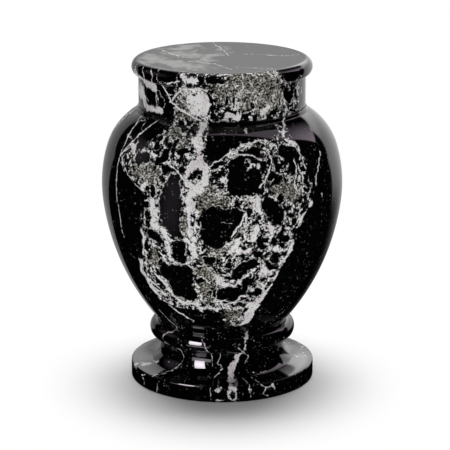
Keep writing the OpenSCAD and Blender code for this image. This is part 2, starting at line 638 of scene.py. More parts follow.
def build_stroke():
    """Distance from a point to one stroke, less the stroke's half width there."""
    tree, start, end = new_group(
        "stroke",
        "ShaderNodeTree",
        [
            ("Label", "NodeSocketVector", None),
            ("From", "NodeSocketVector", (0, 0, 0)),
            ("Span", "NodeSocketVector", (1, 0, 0)),
            ("Along", "NodeSocketVector", (1, 0, 0)),
            ("Half width", "NodeSocketFloat", 1.0),
            ("Widening", "NodeSocketFloat", 0.0),
        ],
        [("Distance", "NodeSocketFloat")],
    )
    given = start.outputs
    reach = vector_node(tree, "SUBTRACT", given["Label"], given["From"]).outputs[0]
    share = vector_node(tree, "DOT_PRODUCT", reach, given["Along"]).outputs["Value"]
    share = smaller(tree, larger(tree, share, 0.0), 1.0)
    nearest = vector_node(tree, "SCALE", given["Span"], Scale=share).outputs[0]
    away = vector_node(tree, "DISTANCE", reach, nearest).outputs["Value"]
    width = times_plus(tree, share, given["Widening"], given["Half width"])
    tree.links.new(minus(tree, away, width), end.inputs["Distance"])
    return tree


STROKE = build_stroke()


def strokes(tree, label, marks):
    """Distance to the nearest mark. A mark is a path of (degrees round, height, half width)."""
    nearest = None
    count = 0
    for mark in marks:
        for (turn_a, up_a, wide_a), (turn_b, up_b, wide_b) in zip(mark, mark[1:]):
            tail = Vector((math.radians(turn_a) * LABEL_R, up_a, 0))
            span = Vector((math.radians(turn_b) * LABEL_R, up_b, 0)) - tail
            stroke = {
                "From": tail,
                "Span": span,
                "Along": span / max(span.length_squared, 0.01),
                "Half width": wide_a,
                "Widening": wide_b - wide_a,
                "Label": label,
            }
            node = make(tree, "ShaderNodeGroup", stroke, node_tree=STROKE)
            distance = node.outputs["Distance"]
            nearest = distance if nearest is None else smaller(tree, nearest, distance)
            count += 1
    print("  ", count, "strokes")
    return nearest


print("stroke group:", len(STROKE.nodes), "nodes")

# %% [markdown]
# ## The stone's colours and cracks
# Zebra marble is black stone that was broken and healed with white. Its colours are few: jet, a
# pale grain, olive and ash paste, and a white that is faintly rosy in places. The cracks are the
# walls between the cells of a Voronoi texture, opened by noise in some places and closed in others.

# %% Colours and cracks
JET = (0.0012, 0.0012, 0.0013)
GRAIN = (0.35, 0.35, 0.35)
DARK_OLIVE = (0.010, 0.010, 0.008)
OLIVE = (0.26, 0.25, 0.21)
DARK_ASH = (0.07, 0.068, 0.065)
ASH = (0.33, 0.325, 0.31)
WHITE = (0.88, 0.87, 0.86)
ROSE = (0.78, 0.72, 0.75)


def cells_of(tree, place, per_mm, feature="F1"):
    """Random cells, so many of them to a millimetre."""
    inputs = {"Vector": place, "Scale": per_mm}
    return make(tree, "ShaderNodeTexVoronoi", inputs, feature=feature).outputs


def net_of(tree, place, size_mm, filling, width, bias):
    """Filled cracks between lumps, wide in places and closed in others."""
    crack = times(tree, cells_of(tree, place, 1 / size_mm, "DISTANCE_TO_EDGE")["Distance"], size_mm)
    opened = times_plus(tree, filling, width, bias)
    return fade(tree, minus(tree, crack, opened), 0.2, -0.2)


def roughen(tree, distance, *swings):
    """Makes an edge uneven. Each swing is a centred random number and its reach in mm."""
    for number, reach in swings:
        distance = times_plus(tree, number, reach, distance)
    return distance


print("white is", round(WHITE[0] / JET[0]), "times as bright as the ground")

# %% [markdown]
# ## The black ground
# Polished black marble isn't quite black. It holds a dust of pale grains, thicker in clouds and
# low on the urn. Each grain is a dot in the middle of a Voronoi cell, and the cell's random
# colour says whether it gets one and how large it is. Haze lays a veil of ash over the ground.

# %% The black ground
GRAIN_CELLS_PER_MM = 0.42
GRAIN_CLOUD_MM = 14.0


def ground_of(tree, place, bent, haze):
    """Jet black with pale grains."""
    cells = cells_of(tree, bent, GRAIN_CELLS_PER_MM)
    luck = parts_of(tree, cells["Color"])
    size = times_plus(tree, luck["Y"], -0.2, cells["Distance"])
    dot = fade(tree, size, 0.22, 0.06)
    grains = times(tree, dot, fade(tree, luck["X"], 0.46, 0.94))
    cloud = noise(tree, place, GRAIN_CLOUD_MM, 3.0).outputs["Fac"]
    grains = times(tree, grains, fade(tree, cloud, 0.40, 0.62, 0.12, 1.0))
    height = parts_of(tree, place)["Z"]
    grains = times(tree, grains, fade(tree, height, 100.0, 60.0, 0.45, 1.0))
    ground = blend(tree, grains, JET, GRAIN)
    return blend(tree, haze, ground, ASH)


print("one grain cell is", round(1 / GRAIN_CELLS_PER_MM, 1), "mm wide")

# %% [markdown]
# ## The rubble
# Where the stone was crushed, black lumps lie in a crinkled net of white. A second, finer net
# crosses some of the lumps. In patches the lumps are ground down to an olive paste.

# %% The rubble
LUMP_MM = 9.0
SMALL_LUMP_MM = 3.2


def rubble_of(tree, bent, filling, crumbs):
    """The net, the paste, and the pale filling of both."""
    lump = parts_of(tree, cells_of(tree, bent, 1 / LUMP_MM)["Color"])
    crushed = fade(tree, lump["X"], 0.34, 0.40)
    net = net_of(tree, bent, LUMP_MM, filling, 9.0, -4.2)
    fine_net = times(tree, net_of(tree, bent, SMALL_LUMP_MM, filling, 4.2, -2.0), crushed)
    fine_net = times(tree, fine_net, fade(tree, crumbs, 0.38, 0.48))
    net = larger(tree, net, fine_net)
    pale = blend(tree, fade(tree, crumbs, 0.43, 0.51), DARK_ASH, WHITE)
    netted = blend(tree, net, JET, pale)
    paste = blend(tree, fade(tree, crumbs, 0.44, 0.56), DARK_OLIVE, OLIVE)
    paste = blend(tree, fade(tree, crumbs, 0.58, 0.66), paste, WHITE)
    paste = blend(tree, times(tree, fine_net, 0.7), paste, pale)
    return netted, paste, pale


print("lumps of", LUMP_MM, "mm and of", SMALL_LUMP_MM, "mm")

# %% [markdown]
# ## The stone itself
# One group turns distances into stone, laid over each other like the real one was made: ground,
# rubble, white calcite, black islands of the old stone that float in the filling, and veins that
# cross everything. Each distance is negative inside its mark, and noise makes its edge ragged.

# %% The marble group
POLISHED = 0.05
SOFT_POLISHED = 0.10


def build_marble():
    """Distances in, colour and roughness out."""
    tree, start, end = new_group(
        "zebra marble",
        "ShaderNodeTree",
        [
            ("Place", "NodeSocketVector", None),
            ("Rubble", "NodeSocketFloat", 10.0),
            ("Olive", "NodeSocketFloat", 10.0),
            ("Calcite", "NodeSocketFloat", 10.0),
            ("Island", "NodeSocketFloat", 10.0),
            ("Vein", "NodeSocketFloat", 10.0),
            ("Haze", "NodeSocketFloat", 0.0),
        ],
        [("Color", "NodeSocketColor"), ("Roughness", "NodeSocketFloat")],
    )
    given = start.outputs
    place = given["Place"]
    ragged = swing(tree, place, 3.0, 4.0, 0.75)
    lumpy = swing(tree, place, 9.0, 2.0, 0.5)
    bend = shove(tree, place, 6.0, 4.0, 0.65, 6.0)
    bent = vector_node(tree, "ADD", place, bend).outputs[0]
    ground = ground_of(tree, place, bent, given["Haze"])

    filling = noise(tree, place, 5.0, 3.0, 0.7).outputs["Fac"]
    crumbs = noise(tree, place, 1.6, 3.0, 0.75).outputs["Fac"]
    netted, paste, pale = rubble_of(tree, bent, filling, crumbs)
    olive_edge = roughen(tree, given["Olive"], (lumpy, 26.0), (ragged, 10.0))
    rubble = blend(tree, fade(tree, olive_edge, 1.0, -1.0), netted, paste)
    rubble_edge = roughen(tree, given["Rubble"], (ragged, 12.0), (lumpy, 12.0))
    colour = blend(tree, fade(tree, rubble_edge, 0.5, -0.5), ground, rubble)

    # Calcite, rosy in places, with black crumbs
    rosy = fade(tree, noise(tree, place, 16.0, 2.0).outputs["Fac"], 0.48, 0.66)
    white = blend(tree, rosy, WHITE, ROSE)
    white = blend(tree, fade(tree, crumbs, 0.45, 0.33), white, DARK_ASH)
    calcite_edge = roughen(tree, given["Calcite"], (ragged, 8.0), (lumpy, 9.0))
    calcite_mask = fade(tree, plus(tree, calcite_edge, 0.75), 0.4, -0.4)
    colour = blend(tree, calcite_mask, colour, white)

    # Islands, with a broken pale rim
    island_edge = roughen(tree, given["Island"], (ragged, 8.0), (lumpy, 7.0))
    island_edge = minus(tree, island_edge, 0.6)
    island_mask = fade(tree, island_edge, 0.35, -0.35)
    rim = fade(tree, distance_from(tree, island_edge, 0.5), 0.55, 0.25)
    rim = times(tree, rim, fade(tree, filling, 0.42, 0.52))
    colour = blend(tree, island_mask, colour, ground)
    colour = blend(tree, rim, colour, pale)

    vein_mask = fade(tree, roughen(tree, given["Vein"], (ragged, 3.4)), 0.3, -0.3)
    colour = blend(tree, vein_mask, colour, white)
    tree.links.new(colour, end.inputs["Color"])
    soft = larger(tree, calcite_mask, vein_mask)
    roughness = between(tree, soft, POLISHED, SOFT_POLISHED)
    tree.links.new(roughness, end.inputs["Roughness"])
    return tree


MARBLE = build_marble()
print("marble group:", len(MARBLE.nodes), "nodes")

# %% [markdown]
# ## Edges of the rubble band
# The crushed stone runs down the front of the urn like a river. Its left and right banks are
# read from two curves, one number for each height, and its upper bank from a third, one height
# for each angle. The greatest of the three distances says how far outside the band a point is.

# %% Bank curves


def bank(tree, value, low, high, places):
    """A curve through (value, answer) places. Answers are given and returned in millimetres."""
    answers = [answer for _, answer in places]
    bottom, top = min(answers), max(answers)
    node = tree.nodes.new("ShaderNodeFloatCurve")
    curve = node.mapping.curves[0]
    shares = [
        ((at - low) / (high - low), (answer - bottom) / (top - bottom)) for at, answer in places
    ]
    while len(curve.points) < len(shares):
        curve.points.new(0.5, 0.5)
    for point, share in zip(curve.points, shares):
        point.location = share
        point.handle_type = "AUTO_CLAMPED"
    node.mapping.update()
    share = math_node(tree, "DIVIDE", minus(tree, value, low), high - low, clamp=True)
    socket_of(share, node, "Value")
    return times_plus(tree, node.outputs["Value"], top - bottom, bottom)


def mm_round(degrees):
    """Millimetres along the label for an angle in degrees."""
    return math.radians(degrees) * LABEL_R


def by_height(places):
    """For a bank written as (height, degrees)."""
    return [(up, mm_round(turn)) for up, turn in places]


def by_angle(places):
    """For a bank written as (degrees, height)."""
    return [(mm_round(turn), up) for turn, up in places]


print("forty degrees round are", round(mm_round(40), 1), "mm along the label")

# %% [markdown]
# ## Marks on the body
# Each mark is a path of places, written as degrees round from the front, height in millimetres,
# and half width in millimetres. The lists are long because a broken stone has many pieces, but
# every line means one thing that can be pointed at on the urn.

# %% Marks on the body
LEFT_BANK = by_height([
    (0, 45), (40, 40), (60, 12), (65, 3), (75, 0), (78, -28), (82, -40), (106, -47.5), (119, -43),
    (148, -41), (178, -39), (187, -48), (198, -58), (205, -56), (210, -45), (222, -39), (233, -34),
    (260, -34),
])
RIGHT_BANK = by_height([
    (0, -45), (40, -20), (60, 12), (66, 16), (77, 20), (96, 26.5), (117, 31.5), (140, 37),
    (158, 40.5), (168, 46), (200, 44), (222, 42), (260, 46),
])
UPPER_BANK = by_angle([
    (-60, 245), (-20, 245), (-9, 236), (-7, 202), (0, 209), (14, 219), (26, 220), (34, 224),
    (40, 245), (60, 245),
])

BODY_CALCITE = [
    [(-12, 234, 4.5), (-14, 222, 5), (-12, 212, 3.5), (-11.5, 203, 3)],
    [(-12, 204, 3), (-16.5, 200, 4), (-16.5, 191, 4), (-12, 185, 5), (-8, 191, 4), (-8, 201, 4),
     (-12, 204, 3)],
    [(-12, 186, 5), (-15, 179, 4), (-14.5, 170, 4.5)],
    [(-15.5, 169, 3), (-15.5, 160, 2), (-14.5, 148, 2.5)],
    [(-11, 167, 1.8), (-12, 157, 1.4), (-12, 150, 1.6)],
    [(-13, 146, 3.5), (-14, 130, 3)],
    [(-11, 152, 1.4), (-6, 163, 1.2), (-2, 169, 0.8)],
    [(-33.5, 171, 4), (-32, 162, 4.4), (-32.5, 152, 4.4)],
    [(-30, 151, 3), (-28, 146, 2.6)],
    [(-29, 148, 3), (-27, 143, 2.4), (-24, 141, 2), (-21, 141, 1.4)],
    [(-27, 139, 3), (-26, 131, 3.4), (-26, 125, 3.6), (-22, 121, 3), (-19, 122, 1.8)],
    [(-20, 126, 2), (-17, 124, 2)],
    [(-22, 147, 1.8), (-19, 145, 2), (-15, 142, 2.4)],
    [(-37, 187, 0.8), (-40, 182, 2), (-39, 176, 0.8)],
    [(-54, 211, 2.6), (-49, 207, 2.8), (-46, 201, 1.2)],
    [(-44, 210, 1.2), (-38, 210, 1.2), (-34, 203, 2)],
    [(-35, 206, 2.2), (-34, 203, 1.6)],
    [(-37, 115, 2.2), (-36, 112, 1.4)],
    [(-41, 148, 2.2), (-41, 138, 1.8), (-42, 127, 1.6), (-43, 119, 1.8), (-46, 117, 2.2),
     (-48, 106, 1.4)],
    [(-38, 145, 1.4), (-38.5, 134, 1.1)],
    [(-14, 100, 1), (-17, 90, 4.5), (-22, 84, 2.4)],
    [(-15, 84, 2.4), (-25, 84, 1.5)],
    [(-14, 79, 2.2), (-6, 80, 2), (0, 79, 1.8), (12, 81, 1)],
    [(-3, 111, 1.2), (0, 104, 3), (7, 103, 3), (13, 112, 1.6), (18, 120, 1)],
    [(9, 145, 2.2), (6, 139, 2.6), (2.5, 133, 2.4), (0.5, 124, 1.8)],
    [(8, 135, 2.4), (13, 132, 2.4)],
    [(17, 183, 2), (16, 172, 3.6), (18, 161, 2)],
    [(16, 155, 2.8), (15, 144, 2.8)],
    [(23, 153, 3), (24, 145, 2.4)],
    [(27, 134, 3), (30, 129, 2.4)],
    [(22, 116, 2.6), (27, 110, 3)],
    [(22, 101, 2), (24, 96, 1.6)],
    [(36, 222, 1.4), (41, 216, 2.6), (34, 214, 1.8)],
    [(5.5, 204, 1.8), (7, 199, 1.4)],
    [(15, 188, 1.8), (16, 185, 1.4)],
    [(-42, 82, 2.6), (-33, 80, 2.6)],
    [(-40, 112, 2), (-34, 102, 2.6), (-30, 92, 2.4), (-25, 84, 2.4)],
    [(-47, 105, 1.6), (-46, 95, 1.8), (-42, 86, 2), (-39, 80, 1.6)],
    [(-46, 101, 1.2), (-38, 94, 1.2), (-33, 85, 1)],
    [(-44, 94, 1.2), (-36, 88, 1.2)],
    [(46, 168, 1.1), (44, 163, 1.2), (40.5, 158, 1.1), (39, 152, 1), (37, 140, 0.9), (34, 125, 1),
     (31.5, 117, 0.9), (28.5, 104, 0.9), (26, 94, 1.1), (23, 86, 2.2), (20, 77, 4.4),
     (18, 66, 4.4), (14, 61, 2.4)],
    [(17, 82, 3), (20, 80, 4.4), (17, 70, 5)],
    [(22, 52, 1.5), (19, 45, 3.4), (18, 37, 2), (14, 28, 1.6), (11, 23, 2.4), (8, 18, 4),
     (6, 15, 2.4)],
    [(-4, 43, 1.6), (-3, 43, 1.2)],
    [(6.5, 11.5, 2.4), (8, 11, 2)],
    [(17, 10, 1.2), (18, 8, 0.8)],
    [(-60, 8, 1), (-58, 6, 0.8)],
    [(33, 10, 1), (34, 7, 0.8)],
    [(13, 31, 2), (17, 35, 1.6)],
    [(7, 22, 2.6), (10, 25, 2.2)],
    [(4, 8, 1), (5, 3, 1.2), (9, 3, 1), (9, 8, 1), (5, 9, 1)],
    [(-4, 11, 1.6), (-2, 11, 1.4)],
    [(-70, 14, 1.2), (-80, 14.5, 4), (-98, 14, 3)],
]

BODY_OLIVE = [
    [(-10, 184, 5), (-3, 176, 8), (-8, 170, 5)],
    [(9, 163, 3), (7, 150, 5)],
    [(-6, 145, 4), (2, 137, 6), (-4, 133, 4)],
    [(-10, 125, 3), (-8, 116, 6), (-4, 110, 4)],
    [(-10, 103, 4), (-7, 90, 5)],
    [(4, 78, 4), (9, 70, 6)],
    [(24, 186, 5), (34, 178, 7)],
    [(-45, 196, 5), (-34, 190, 6)],
    [(-30, 222, 5), (-22, 214, 4)],
    [(-17, 162, 2), (-18, 148, 4)],
    [(-36, 122, 5), (-36, 119, 5)],
]

BODY_ISLANDS = [
    [(-44, 204, 5), (-40, 205, 4)],
    [(-19, 228, 1.8), (-16, 227, 1.8)],
    [(-25.5, 218, 1.6), (-25.5, 208, 1.6)],
    [(-36, 221, 1.6), (-36, 213, 1.4)],
    [(-24, 190, 4), (-24, 182, 7.5), (-24, 170, 9.5), (-24, 158, 8), (-22, 150, 4.5),
     (-20, 146, 3)],
    [(-19, 199, 2), (-21, 192, 3)],
    [(-33.5, 182, 2.4), (-33.5, 178, 2)],
    [(-36, 146, 3.4), (-32, 142, 3.4)],
    [(-21, 135, 6), (-21, 128, 6.5)],
    [(-4, 163, 9), (-3, 150, 12), (1, 157, 13), (5, 161, 9)],
    [(7, 203, 7), (8, 190, 10), (14, 192, 10), (17, 186, 6)],
    [(9, 212, 3), (17, 212.5, 3.6)],
    [(33, 211, 5), (38, 206, 7), (36, 198, 4)],
    [(22, 195, 2.4), (28, 192, 2), (24, 187, 1)],
    [(-7.5, 126, 2.6), (-5, 126, 2.4)],
    [(3.5, 126, 1.6), (3.5, 121, 1.6)],
    [(7, 111, 3), (10, 118, 4.6), (16, 124, 3)],
    [(-3, 94, 4), (4, 95, 6.5), (11, 93, 5)],
    [(13, 106, 2.2), (13, 95, 2)],
    [(25, 125, 2.6), (28, 123, 2.4)],
    [(-30, 112, 7), (-20, 110, 9.5), (-24, 99, 9.5), (-18, 93, 6)],
    [(22, 170, 6), (26, 160, 6.5)],
    [(-37.5, 161, 1.6), (-37, 158, 1.2)],
    [(-37, 153, 1.4), (-36, 151, 1)],
    [(27, 207, 2), (27, 198, 2)],
    [(21, 203, 2.4), (20, 197, 2)],
    [(-12.5, 197, 1.6), (-12.5, 195, 1.4)],
    [(-58, 222, 6), (-52, 214, 1)],
    [(7, 7, 0.9), (7, 5, 0.9)],
]

BODY_VEINS = [
    [(-66, 229, 0.5), (-62, 224, 0.7), (-60, 213, 0.5), (-60, 190, 0.5), (-59, 170, 0.4),
     (-57, 157, 0.4),
     (-57, 140, 0.4), (-56, 133, 0.2)],
    [(-60, 201, 0.6), (-58, 199, 0.4), (-50, 188, 0.2), (-44, 182, 0.2), (-39, 178, 0.1)],
    [(-47, 230, 0.4), (-54, 214, 0.5), (-59, 202, 0.6)],
    [(-60, 202, 0.5), (-54, 209, 0.4)],
    [(-33, 188, 0.2), (-32, 175, 0.2)],
    [(-9, 199, 0.6), (-4, 206, 0.5), (0, 209, 0.5), (5, 213, 0.5), (9, 216, 0.4), (14, 219, 0.5),
     (20, 221, 0.5),
     (26, 220, 0.4)],
    [(-28, 203, 0.5), (-20, 195, 0.5), (-16, 189, 0.4)],
    [(38, 203, 0.6), (38, 192, 0.5), (36, 185, 0.5), (38, 176, 0.4)],
    [(42, 190, 0.4), (41, 183, 0.4), (43, 180, 0.3)],
    [(58, 205, 0.4), (54, 197, 0.5), (52, 191, 0.4), (50, 187, 0.4), (49, 180, 0.3)],
    [(43, 213, 0.5), (42, 206, 0.5), (41, 203, 0.4)],
    [(34, 166, 0.5), (35, 163, 0.5)],
    [(53, 171, 0.6), (53, 169, 0.5)],
    [(46, 232, 0.7), (43, 229, 0.7), (39, 226, 0.7), (37, 222, 0.8)],
    [(24, 213, 0.6), (25, 206, 0.6), (24, 200, 0.5), (22, 194, 0.6), (20, 190, 0.6),
     (18, 187, 0.6)],
    [(8, 211, 0.4), (12, 212, 0.4), (15, 211, 0.4), (20, 207, 0.4)],
    [(10.5, 167, 0.4), (10.5, 154, 0.4)],
    [(-1, 159, 0.05), (4, 157, 0.05)],
    [(4, 147, 0.8), (8, 156, 0.8), (10, 165, 0.7)],
    [(0, 84, 0.7), (7, 86, 0.7), (11, 92, 0.7), (15, 92, 0.6)],
    [(-36, 78, 0.7), (-33, 74, 0.6), (-28, 71, 0.6), (-25, 68, 0.5), (-21, 65, 0.4)],
    [(-50, 68, 0.3), (-46, 60, 0.3), (-42, 54, 0.3), (-45, 50, 0.4), (-53, 46, 0.3), (-54, 40, 0.2),
     (-46, 35, 0.3), (-40, 33, 0.3), (-37, 28, 0.3), (-39, 22, 0.1), (-46, 16, 0.2),
     (-50, 14, 0.1)],
    [(-18, 50, 0.1), (-14, 44, 0.1), (-10, 35, 0.2), (-9, 29, 0.2), (-9, 22, 0.1)],
    [(-2, 33, 0.3), (-1.5, 31, 0.3), (-4, 24, 0.4), (-1, 24, 0.3), (1, 21, 0.3), (-4, 17, 0.4),
     (-6, 15, 0.3)],
    [(27, 16, 0.1), (40, 16, 0.1)],
    [(-7, 12, 0.2), (-7, 2, 0.1)],
    [(-3, 2, 0.4), (1, 2, 0.2)],
    [(17.5, 14, 0.3), (16.5, 9, 0.1), (17.5, 4, 0.2)],
    [(24, 14, 0.2), (28, 10, 0.4), (26, 5, 0.2), (30, 3, 0.2)],
    [(28, 10, 0.2), (33, 12, 0.3)],
    [(-61, 10, 0.6), (-57, 12, 0.5)],
    [(-44, 8, 0.2), (-44, 1, 0.1)],
    [(12, 41, 0.3), (18, 36, 0.4), (24, 30, 0.3), (21, 24, 0.2)],
    [(-3, 108, 0.05), (-4, 78, 0.05)],
    [(13.7, 228, 0.3), (14.6, 229.4, 0.3), (15.4, 228, 0.3), (14.5, 226.8, 0.3), (13.7, 228, 0.3)],
]

BODY_MARKS = (BODY_CALCITE, BODY_OLIVE, BODY_ISLANDS, BODY_VEINS)
print("marks on the body:", sum(len(marks) for marks in BODY_MARKS))

# %% [markdown]
# ## Marks on the lid
# The lid was cut from another block, and its bands don't meet the body's. Its side is unrolled
# in the same way. Its flat top is drawn in plan: millimetres to the right and towards the back.

# %% Marks on the lid
LID_LEFT_BANK = by_height([(220, -30), (240, -33), (252, -34), (258, -30), (275, -22)])
LID_RIGHT_BANK = by_height([(220, 66), (240, 70), (256, 68), (263, 44), (275, 36)])
LID_CALCITE = [
    [(-92, 256, 8), (-80, 250, 9), (-70, 248, 7), (-66, 240, 5)],
    [(-74, 264, 3), (-62, 257, 5), (-52, 255, 4)],
    [(-62, 237, 3.5), (-44, 238, 3)],
    [(-21, 250, 5), (-11, 250, 7), (-12, 242, 5), (-20, 243, 4)],
    [(-29, 258, 2.4), (-16, 260, 2.4), (-10, 258, 1.5)],
    [(-26, 269, 2.4), (-17, 266, 3.4)],
    [(3, 238, 2.6), (11, 238, 2.8)],
    [(28, 240, 1.8), (34, 244, 1.4)],
]
LID_OLIVE = [
    [(-29, 254, 6), (-25, 245, 6)],
    [(-28, 238, 4), (-22, 237, 4)],
    [(0, 256, 8), (20, 252, 12), (40, 250, 8)],
    [(0, 268, 5), (24, 267, 6), (46, 266, 5)],
]
LID_ISLANDS = [
    [(-60, 249, 4), (-52, 245, 5)],
    [(-48, 250, 3), (-45, 244, 4)],
    [(-39, 256, 3), (-33, 255, 2.4)],
    [(-42, 268, 4.5), (-31, 267, 5)],
    [(-9, 268, 2.4), (4, 268, 1.6)],
    [(3, 256, 0.8), (3, 247, 0.6)],
    [(8, 252, 0.8), (8, 244, 0.6)],
    [(20, 247, 1.2), (22, 241, 1)],
    [(46, 256, 3), (52, 246, 4), (58, 262, 3)],
]
LID_VEINS = [
    [(-45, 260, 0.6), (-38, 251, 0.9), (-36, 247, 0.9), (-30, 242, 0.8), (-24, 239, 0.7),
     (-14, 233, 0.8)],
    [(-37, 247, 0.8), (-31, 254, 0.8), (-24, 261, 0.7)],
    [(-31, 251, 0.5), (-21, 243, 0.6), (-13, 235, 0.6)],
    [(-51, 254, 0.5), (-50, 240, 0.5)],
    [(-61, 271, 0.4), (-58, 264, 0.5), (-60, 258, 0.5)],
    [(-52, 271, 0.4), (-48, 266, 0.5), (-51, 259, 0.5)],
    [(-73, 270, 0.6), (-66, 262, 0.6)],
    [(-36, 263, 0.4), (-27, 265, 0.4)],
    [(37, 258, 0.4), (38, 249, 0.4)],
    [(12, 266, 0.4), (14, 260, 0.6), (12, 256, 0.3)],
]
TOP_VEINS = [
    [(-8, 63, 0.3), (0, 36, 0.3), (5, 4, 0.2)],
    [(-28, -18, 0.3), (-6, -29, 0.3), (8, -53, 0.2)],
    [(17, 14, 0.1), (52, 4, 0.2), (67, 14, 0.1)],
    [(10, -42, 0.1), (44, -51, 0.1)],
    [(-50, 30, 0.3), (-34, 2, 0.3), (-12, -12, 0.3)],
]
TOP_CLOUDS = [
    [(-22, 7, 5), (-39, 20, 7), (-30, 44, 5)],
    [(-58, -8, 6), (-36, -32, 6), (-16, -44, 3)],
    [(-13, -4, 6), (-4, 30, 1)],
]

LID_MARKS = (LID_CALCITE, LID_OLIVE, LID_ISLANDS, LID_VEINS, TOP_VEINS, TOP_CLOUDS)
print("marks on the lid:", sum(len(marks) for marks in LID_MARKS))

# %% [markdown]
# ## Two materials
# Both materials use the same marble group. Each measures its own marks and hands over five
# distances. Round the back, out of sight of the listed marks, slow noise takes over, so the
# urn is finished on every side: small islands of rubble and long thin veins in black.

# %% What both materials share
STONE_IOR = 1.5
# Listed marks rule up to the first angle and have given way at the second.
MARKS_END_AT, BACK_BEGINS_AT = 72, 88
NO_MARK = 30.0


def take_over(tree, front_share, front, back):
    """The front's value where the share is one, and the back's where it is zero."""
    return between(tree, front_share, back, front)


def back_fields(tree, place):
    """Rubble and vein distances for the sides without hand-placed marks."""
    slow = noise(tree, place, 55.0, 2.0).outputs["Fac"]
    rubble = times_plus(tree, slow, -120.0, 72.0)
    ridge = parts_of(tree, noise(tree, place, 48.0, 2.0, 0.5, 0.4).outputs["Color"])
    vein = times_plus(tree, distance_from(tree, ridge["X"], 0.5), 90.0, -0.35)
    faint = times(tree, fade(tree, ridge["Y"], 0.55, 0.45), 4.0)
    return rubble, plus(tree, vein, faint)


def new_stone(name):
    """A material with its surface, its places in millimetres, its label and its front share."""
    material = bpy.data.materials.new(name)
    material.use_nodes = True
    tree = material.node_tree
    tree.nodes.clear()
    target = make(tree, "ShaderNodeOutputMaterial")
    surface = make(tree, "ShaderNodeBsdfPrincipled")
    surface.inputs["IOR"].default_value = STONE_IOR
    tree.links.new(surface.outputs["BSDF"], target.inputs["Surface"])
    coordinates = make(tree, "ShaderNodeTexCoord")
    place = vector_node(tree, "SCALE", coordinates.outputs["Object"], Scale=1 / MM).outputs[0]
    label = make(tree, "ShaderNodeGroup", {"Place": place}, node_tree=LABEL)
    none, full = (math.cos(math.radians(angle)) for angle in (BACK_BEGINS_AT, MARKS_END_AT))
    front_share = fade(tree, label.outputs["Frontness"], none, full)
    return material, tree, surface, place, label.outputs["Label"], front_share


def finish_stone(tree, surface, fields):
    """Feeds the marble group by socket name and wires it to the surface."""
    marble = make(tree, "ShaderNodeGroup", fields, node_tree=MARBLE)
    tree.links.new(marble.outputs["Color"], surface.inputs["Base Color"])
    tree.links.new(marble.outputs["Roughness"], surface.inputs["Roughness"])


def band(tree, label, left, right, upper=None):
    """Distance outside the band between two banks and, if given, under a third."""
    part = parts_of(tree, label)
    around, up = part["X"], part["Y"]
    outside_left = minus(tree, bank(tree, up, left[0][0], left[-1][0], left), around)
    outside_right = minus(tree, around, bank(tree, up, right[0][0], right[-1][0], right))
    outside = larger(tree, outside_left, outside_right)
    if upper:
        above = minus(tree, up, bank(tree, around, upper[0][0], upper[-1][0], upper))
        outside = larger(tree, outside, above)
    return outside


print("marks end between", MARKS_END_AT, "and", BACK_BEGINS_AT, "degrees from the front")

# %% [markdown]
# ## The body's stone
# The band, the calcite and the veins give way to noise round the back. Islands need no handing
# over, because outside the rubble and the calcite they are black on black.

# %% The body's stone


def body_stone():
    """The material of the body."""
    material, tree, surface, place, label, front = new_stone("body marble")
    back_rubble, back_vein = back_fields(tree, place)
    front_rubble = band(tree, label, LEFT_BANK, RIGHT_BANK, UPPER_BANK)
    rubble = take_over(tree, front, front_rubble, back_rubble)
    calcite = take_over(tree, front, strokes(tree, label, BODY_CALCITE), 9.0)
    fields = {
        "Place": place,
        "Rubble": rubble,
        "Calcite": calcite,
        "Olive": take_over(tree, front, strokes(tree, label, BODY_OLIVE), 3.0),
        "Island": strokes(tree, label, BODY_ISLANDS),
        "Vein": take_over(tree, front, strokes(tree, label, BODY_VEINS), back_vein),
    }
    finish_stone(tree, surface, fields)
    return material


print("body:")
BODY_STONE = body_stone()

# %% [markdown]
# ## The lid's stone
# The lid's side is made like the body. On its flat top there are thin veins and a faint ash
# cloud, both drawn in plan and rippled by noise, and the side's marks are switched off there.

# %% The lid's stone


def plan_in_label(tree, plan):
    """The strokes helper writes degrees; a plan's right-hand millimetres are scaled to match."""
    return vector_node(tree, "MULTIPLY", plan, (mm_round(1.0), 1.0, 1.0)).outputs[0]


